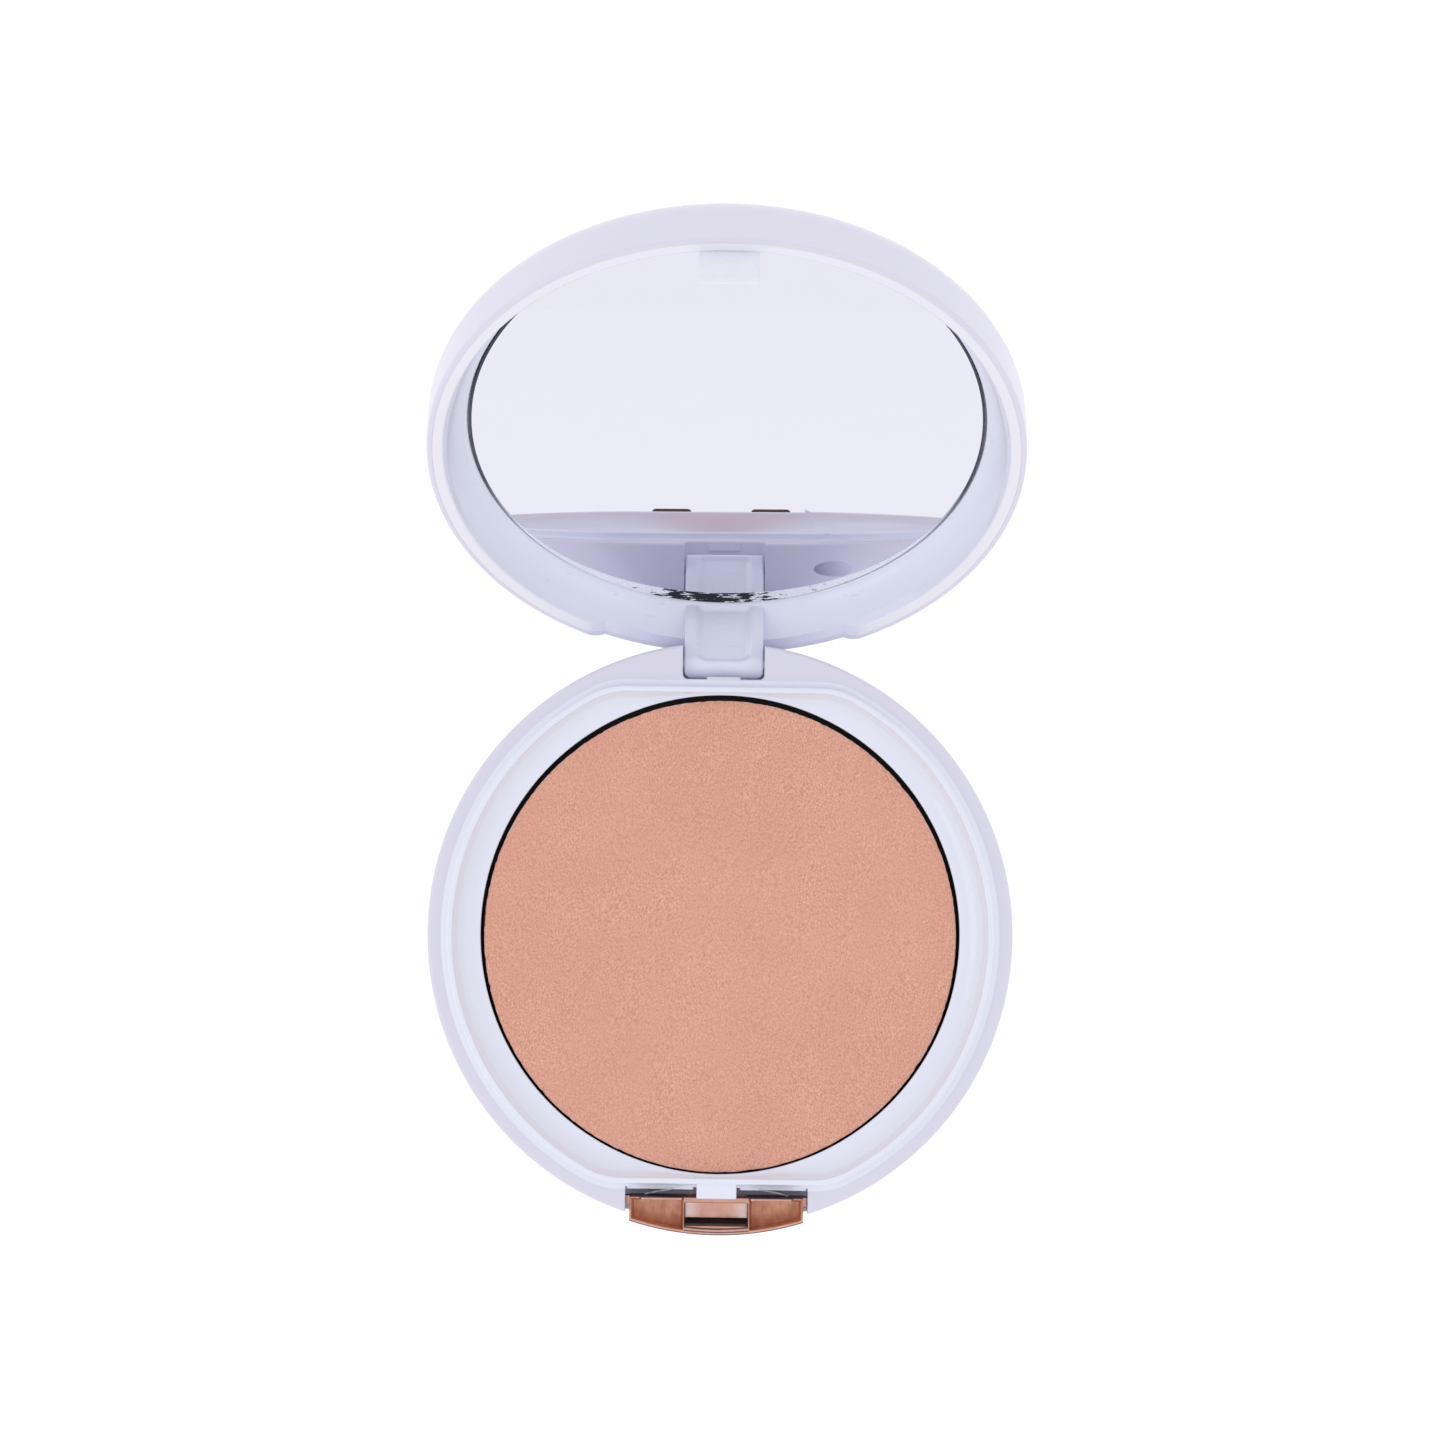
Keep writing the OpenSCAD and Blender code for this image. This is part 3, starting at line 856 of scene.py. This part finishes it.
def build_tongue():
    """Catch tongue at the lid's front, with a stepped face, rounded corners and a barb behind."""
    levels = []
    corner = 0.7
    steps = (2.4, 0.45, 0.3, -2.15, -2.25, -2.6, -2.85, -3.0, -3.1, -3.55, -3.75, -3.8)
    for z in steps + (-4.0, -4.15, -4.3, -4.42, -4.5):
        past = max(0, -3.8 - z)
        half = TONGUE_HALF - corner + sqrt(max(corner ** 2 - past ** 2, 0))
        front = TONGUE_Y + 0.13 * (z < -2.2) + 0.13 * (z < -2.7) + 0.13 * (z < -3.6)
        front += 0.25 * max(0, -4.1 - z)
        if z > 0.4:
            front = -34.8
        rear = -33.6
        if -3.06 > z > -3.9:
            rear = -33.1 - 0.25 * max(0, -3.5 - z)
        levels.append((rectangle(-half, half, front, rear), z))
    tongue = stack("tongue", levels)
    soften(tongue, 0.07, 2, 50)
    return tongue


def build_frame(material, thin_glow_material, rim_highlight_material):
    """Lid's inner frame with its tongue and tab. The rim stays a hair off the closed base."""
    rim = 0.4
    low = 0.03
    profile = [(FRAME_R, low + 0.02), (FRAME_R - 0.02, low)]
    profile += arc(RIM_IN + rim, rim + low, rim, 270, 180, 6)
    profile += skirt_profile()
    profile += [(SEAT_R, SEAT_Z + 0.12), (SEAT_R, FRAME_TOP)]
    profile += arc(FRAME_R - 3.1, FRAME_TOP - 3.1, 3.1, 88, 0, 9)
    ring = revolve("lid_frame", profile, closed=True)
    cut(ring, relief_cutter())
    add(ring, build_tongue())
    tab = build_tab()
    cut(tab, corner_cutter(-1), corner_cutter(1))
    add(ring, tab)
    cut(ring, bar("tab_hole", PIN_HOLE_R, -TAB_HALF - 1, TAB_HALF + 1))
    place(ring, lid_matrix(), "lid", material, "mirror_frame")
    ring.data.materials.append(thin_glow_material)
    ring.data.materials.append(rim_highlight_material)
    back = lid_matrix().inverted()
    for face in ring.data.polygons:
        centre = back @ face.center
        # The tongue's faces get the glowing thin paint: painted glow.
        if centre.y < 0 and centre.z < -0.02:
            face.material_index = 1
        # The rim's faces get the brighter copy of the plastic as a painted highlight.
        elif centre.z < 0.25 and centre.xy.length > RIM_IN:
            face.material_index = 2
    return ring


def build_mirror(material, edge_material):
    """Round mirror with a ground edge. Its face sits a little askew, closest to you at the hinge."""
    tip = tan(radians(0.8))
    lean = tan(radians(0.3))
    drop = 0.07
    back = MIRROR_Z + GLASS_T
    bevel = 0.26 + 1.6 * np.clip(np.sin(ANGLES), 0, 1) ** 4.4
    rings = [polar(0, MIRROR_Z), polar(MIRROR_R - bevel, MIRROR_Z),
             polar(MIRROR_R - bevel + 0.02, MIRROR_Z + 0.01), polar(MIRROR_R - 0.05, MIRROR_Z + drop),
             polar(MIRROR_R, MIRROR_Z + drop + 0.05), polar(MIRROR_R, back), polar(0, back)]
    glass = loft("mirror", rings)
    for vertex in glass.data.vertices:
        share = (back - vertex.co.z) / (back - MIRROR_Z)
        vertex.co.z += share * (lean * vertex.co.x - tip * vertex.co.y)
    place(glass, lid_matrix(), "lid", material, "mirror_glass")
    glass.data.materials.append(edge_material)
    for face in glass.data.polygons[TURN:]:
        face.material_index = 1
    return glass


# ---- button ----------------------------------------------------------------------------------

BUTTON_HALF = 10.9
BUTTON_BACK = 32.78
BUTTON_ARC = 35.8
BUTTON_TOP = -0.3
CHANNEL_X = 3.87
CHANNEL_Z = -4.9
WALL = 0.34
FRONT = 1.3                                 # thickness of the button's front wall
BRIDGE_Y = -33.5                            # front face of the bridge
GROOVE_Y = -35.8                            # rear edge of the groove in the channel, painted dark as shade
DARK_LINES = ((-FAR, 0.15), (0.34, 0.52), (0.76, 0.95))    # painted shade lines across the front ridges, inset from the front
BUTTON_LEVELS = (                           # inset at the sides, inset at the front, height
    (0.3, 0.3, -5.8), (0.09, 0.09, -5.72), (0, 0, -5.5), (0, 0, -1.05), (0.01, 0.02, -0.85),
    (0.02, 0.15, -0.74), (0.03, 0.2, -0.6), (0.04, 0.29, -0.6), (0.05, 0.34, -0.56),
    (0.06, 0.4, -0.42), (0.07, 0.5, -0.36), (0.09, 0.55, BUTTON_TOP), (0.1, 0.75, BUTTON_TOP),
    (0.11, 0.8, BUTTON_TOP - 0.1), (0.12, 0.9, BUTTON_TOP - 0.1), (0.13, 0.95, BUTTON_TOP),
)


def button_outline(x0, x1, front, back):
    """Plan of the part of the button between x0 and x1, front being the inset of its curved front."""
    r = BUTTON_ARC - front
    centre = -BUTTON_Y + BUTTON_ARC
    curve = [(x, centre - sqrt(r * r - x * x)) for x in np.linspace(x0, x1, 33)]
    return curve + [(x1, -back), (x0, -back)]


def wing_cutter(side):
    """Pocket in one wing: rounded mouth, slightly drawn-in walls, floor falling to the front."""
    inner = CHANNEL_X + WALL
    outer = BUTTON_HALF - WALL
    levels = []
    for grow, z in ((-0.22, -2.8), (-0.1, -2.5), (0, -0.6), (0.04, -0.42), (0.1, -0.34),
                    (0.15, BUTTON_TOP), (0.15, 2)):
        x0, x1 = inner - grow, outer + grow
        if side < 0:
            x0, x1 = -x1, -x0
        outline = button_outline(x0, x1, WALL + 0.14 - grow, BUTTON_BACK + WALL - grow)
        fall = 0.22 if z < -2 else 0
        levels.append([(x, y, z + fall * (y + 34)) for x, y in outline])
    return loft("wing_cutter", [np.array(level) for level in levels])


def channel_cutter():
    """Middle channel for the lid's tongue: it runs under the bridge and has a dark groove in front."""
    front = -BUTTON_Y + FRONT
    outline = [(-32, -3), (BRIDGE_Y - 0.02, -2.9), (BRIDGE_Y, -2.8), (BRIDGE_Y, -0.5),
               (BRIDGE_Y + 0.06, -0.37), (BRIDGE_Y + 0.2, BUTTON_TOP), (BRIDGE_Y + 0.2, 1),
               (front - 0.12, 1), (front - 0.12, BUTTON_TOP), (front - 0.03, -0.36),
               (front, -0.46), (front, -5.0), (front + 0.35, -5.5), (GROOVE_Y, -4.98),
               (GROOVE_Y + 0.05, -4.92), (GROOVE_Y + 0.15, CHANNEL_Z), (-32, CHANNEL_Z + 0.1)]
    return across("channel", outline, -CHANNEL_X, CHANNEL_X)


def channel_mouth():
    """Widens the channel's upper edges."""
    front = -BUTTON_Y + FRONT - 0.02
    x = CHANNEL_X + 0.16
    return stack("channel_mouth", [
        (rectangle(0.01 - CHANNEL_X, CHANNEL_X - 0.01, front, BRIDGE_Y - 0.02), -1.4),
        (rectangle(-x, x, front - 0.1, BRIDGE_Y + 0.02), BUTTON_TOP + 0.02),
        (rectangle(-x, x, front - 0.1, BRIDGE_Y + 0.02), 1),
    ])


def wing_wall(side):
    """Thin raised wall along the rear of one wing, with rounded upper corners."""
    x0, x1, top, corner = CHANNEL_X + 0.2, 9.6, 1.4, 0.6
    outline = [(x0, -1), (x1, -1)] + arc(x1 - corner, top - corner, corner, 0, 90, 8)
    outline += arc(x0 + corner, top - corner, corner, 90, 180, 8)
    wall = along_y("wing_wall", [(side * x, z) for x, z in outline],
                   -BUTTON_BACK - 0.27, -BUTTON_BACK - 0.005)
    soften(wall, 0.06, 2, 50)
    return wall


def ear(side):
    """Stop at the button's side that keeps it in the base."""
    low, high = sorted((side * 10.5, side * 11.9))
    return rounded_box("ear", (low, -33.88, -4.8), (high, -32.8, -2.6), 0.1)


def button_part(point, normal):
    """Which material a face of the button has: 0 bright coat, 1 duller coat, darkened in part as
    painted shade, 2 dark brown painted shade.
    """
    centre = Vector((0, BUTTON_ARC - BUTTON_Y))
    within = BUTTON_ARC - (point.xy - centre).length
    in_front = within < 0.33 or abs(point.x) < CHANNEL_X
    # Painted shade: the rear faces, which are also uncoated, and the raised walls above the top.
    if point.y > -0.1 - BUTTON_BACK and normal.y > 0.8 or 1.3 > point.z > BUTTON_TOP + 0.1:
        return 2
    # Painted shade: lines in the grooves between the front ridges.
    dark = any(low < within < high for low, high in DARK_LINES)
    if dark and in_front and -1.0 < point.z:
        return 2
    in_channel = abs(point.x) < CHANNEL_X + 0.17
    # Painted shade: the groove at the channel's front and the channel's sides.
    if in_channel and BRIDGE_Y > point.y and -5.6 < point.z < BUTTON_TOP - 0.02 and within > 1.2:
        return 2 if point.y < GROOVE_Y + 0.12 or abs(point.x) > CHANNEL_X - 0.05 else 0
    # Pocket faces get the duller paint: the rough streaky finish is their own, the darker tone partly
    # painted shade.
    if within > WALL and -4 < point.z < BUTTON_TOP - 0.01 and abs(point.x) < BUTTON_HALF - 0.12:
        return 1 if point.y < -BUTTON_BACK - 0.15 else 0
    return 0


def build_button(coated, dull_shaded, shade_paint):
    """Button with hollow wings, raised walls, middle channel, bridge and side stops."""
    levels = []
    for inset, front, z in BUTTON_LEVELS:
        outline = button_outline(-BUTTON_HALF + inset, BUTTON_HALF - inset, front, BUTTON_BACK + inset)
        levels.append((outline, z))
    button = stack("button", levels)
    cut(button, wing_cutter(-1), wing_cutter(1), channel_cutter(), channel_mouth())
    add(button, wing_wall(-1), wing_wall(1), ear(-1), ear(1))
    place(button, base_matrix(), "button", coated, "release_button")
    button.data.materials.append(dull_shaded)
    button.data.materials.append(shade_paint)
    back = base_matrix().inverted()
    for face in button.data.polygons:
        face.material_index = button_part(back @ face.center, face.normal)
    return button


# ---- hidden pieces that keep their CAD shape ---------------------------------------------------

def paint_node(name, material):
    """Gives a CAD piece its material and nothing else."""
    node = frame["nodes"][name]
    node.data.materials.clear()
    node.data.materials.append(material)


# ---- scene -----------------------------------------------------------------------------------

def build_floor():
    """Large pale floor that glows like a light table."""
    floor = stack("floor", [(rectangle(-4, 4, -4, 4), -0.02), (rectangle(-4, 4, -4, 4), -0.0002)])
    paint = Paint("floor_paint", roughness=1.0)
    paint.shader.inputs["Base Color"].default_value = (0.15, 0.15, 0.15, 1)
    paint.shader.inputs["Specular IOR Level"].default_value = 0
    paint.shader.inputs["Emission Color"].default_value = (1, 1, 1, 1)
    paint.shader.inputs["Emission Strength"].default_value = 0.95
    floor.data.materials.append(paint.material)


def soft_light(name, place_m, size, power, tint):
    light = bpy.data.lights.new(name, "AREA")
    light.shape = "DISK"
    light.size = size
    light.energy = power
    light.color = tint
    lamp = bpy.data.objects.new(name, light)
    bpy.context.scene.collection.objects.link(lamp)
    lamp.location = place_m
    aim = Vector((0, 0.02, 0.02)) - Vector(place_m)
    lamp.rotation_euler = aim.to_track_quat("-Z", "Y").to_euler()


def build_world():
    """Even studio light: white round the horizon and softer overhead."""
    world = bpy.data.worlds.new("studio")
    world.use_nodes = True
    bpy.context.scene.world = world
    tree = world.node_tree
    direction = tree.nodes.new("ShaderNodeTexCoord").outputs["Generated"]
    split = tree.nodes.new("ShaderNodeSeparateXYZ")
    fade = tree.nodes.new("ShaderNodeMapRange")
    for key, value in (("From Min", 0.02), ("From Max", 0.3), ("To Min", 1.06), ("To Max", 0.87)):
        fade.inputs[key].default_value = value
    tree.links.new(direction, split.inputs[0])
    tree.links.new(split.outputs["Z"], fade.inputs["Value"])
    tree.links.new(fade.outputs[0], tree.nodes["Background"].inputs["Strength"])
    tree.nodes["Background"].inputs["Color"].default_value = (1, 1, 1, 1)


def build_lights():
    build_world()
    soft_light("key", (-0.7, -0.15, 0.75), 0.6, 0.9, (1, 1, 1))
    soft_light("fill", (0.75, 0.1, 0.7), 0.6, 0.4, (1, 1, 1))


def build_camera():
    """Straight down over the hinge, with the compact turned slightly in the picture."""
    height = 777
    width = 180.6                           # what the picture spans at the parting plane
    camera = bpy.data.cameras.new("camera")
    camera.sensor_width = 36
    camera.lens = 36 * height / width
    camera.clip_end = 10
    holder = bpy.data.objects.new("camera", camera)
    bpy.context.scene.collection.objects.link(holder)
    holder.location = Vector((-0.06, 26.6, BASE_H + height)) * MM
    holder.rotation_euler = (0, 0, radians(0.8))
    bpy.context.scene.camera = holder


case = plastic("case_paint", colour(222, 220, 235), colour(219, 217, 234), 0.28)
tray_plastic = plastic("tray_paint", colour(232, 235, 249), colour(230, 233, 248), 0.12)
# Painted highlight: a brighter copy of the frame's plastic for the lid's rim, which also lightens the
# seam between cover and frame.
rim_highlight_plastic = plastic("rim_highlight_paint", colour(236, 235, 245), colour(233, 232, 243), 0.2, 0.3)
frame_plastic = plastic("frame_paint", colour(230, 233, 248), colour(227, 231, 247), 0.13, 0.3, True)

build_base(case)
# The dark brown paint for the tray's well is painted shade.
build_tray(tray_plastic, paper("well_shade_paint", colour(62, 50, 54), colour(48, 38, 42), 0.6))
build_pan(metal("tin_paint", colour(176, 170, 174), colour(150, 144, 148), 0.35, 0.001))
build_powder(powder_paint())
build_cover(case)
build_frame(frame_plastic, glowing_thin_plastic(), rim_highlight_plastic)
build_mirror(mirror_paint(), edge_paint())
build_button(rose_metal(), dull_shaded_rose(), shade_brown())

paint_node("pan_glue", paper("glue_paint", colour(226, 220, 200), colour(206, 198, 172), 0.4))
paint_node("base_label", paper("label_paint", colour(240, 240, 242), colour(230, 230, 234), 0.55))
paint_node("button_spring", metal("spring_paint", colour(190, 192, 198), colour(160, 162, 170),
                                  0.25, 0.0008))
paint_node("hinge_pin", metal("pin_paint", colour(196, 198, 204), colour(170, 172, 180), 0.3, 0.0008))
paint_node("mirror_coating", metal("coating_paint", colour(200, 204, 212), colour(180, 184, 194),
                                   0.2, 0.002))
paint_node("mirror_tape", paper("tape_paint", colour(236, 236, 232), colour(220, 220, 214), 0.8))

build_floor()
build_lights()
build_camera()
bpy.context.scene.view_settings.view_transform = "Standard"
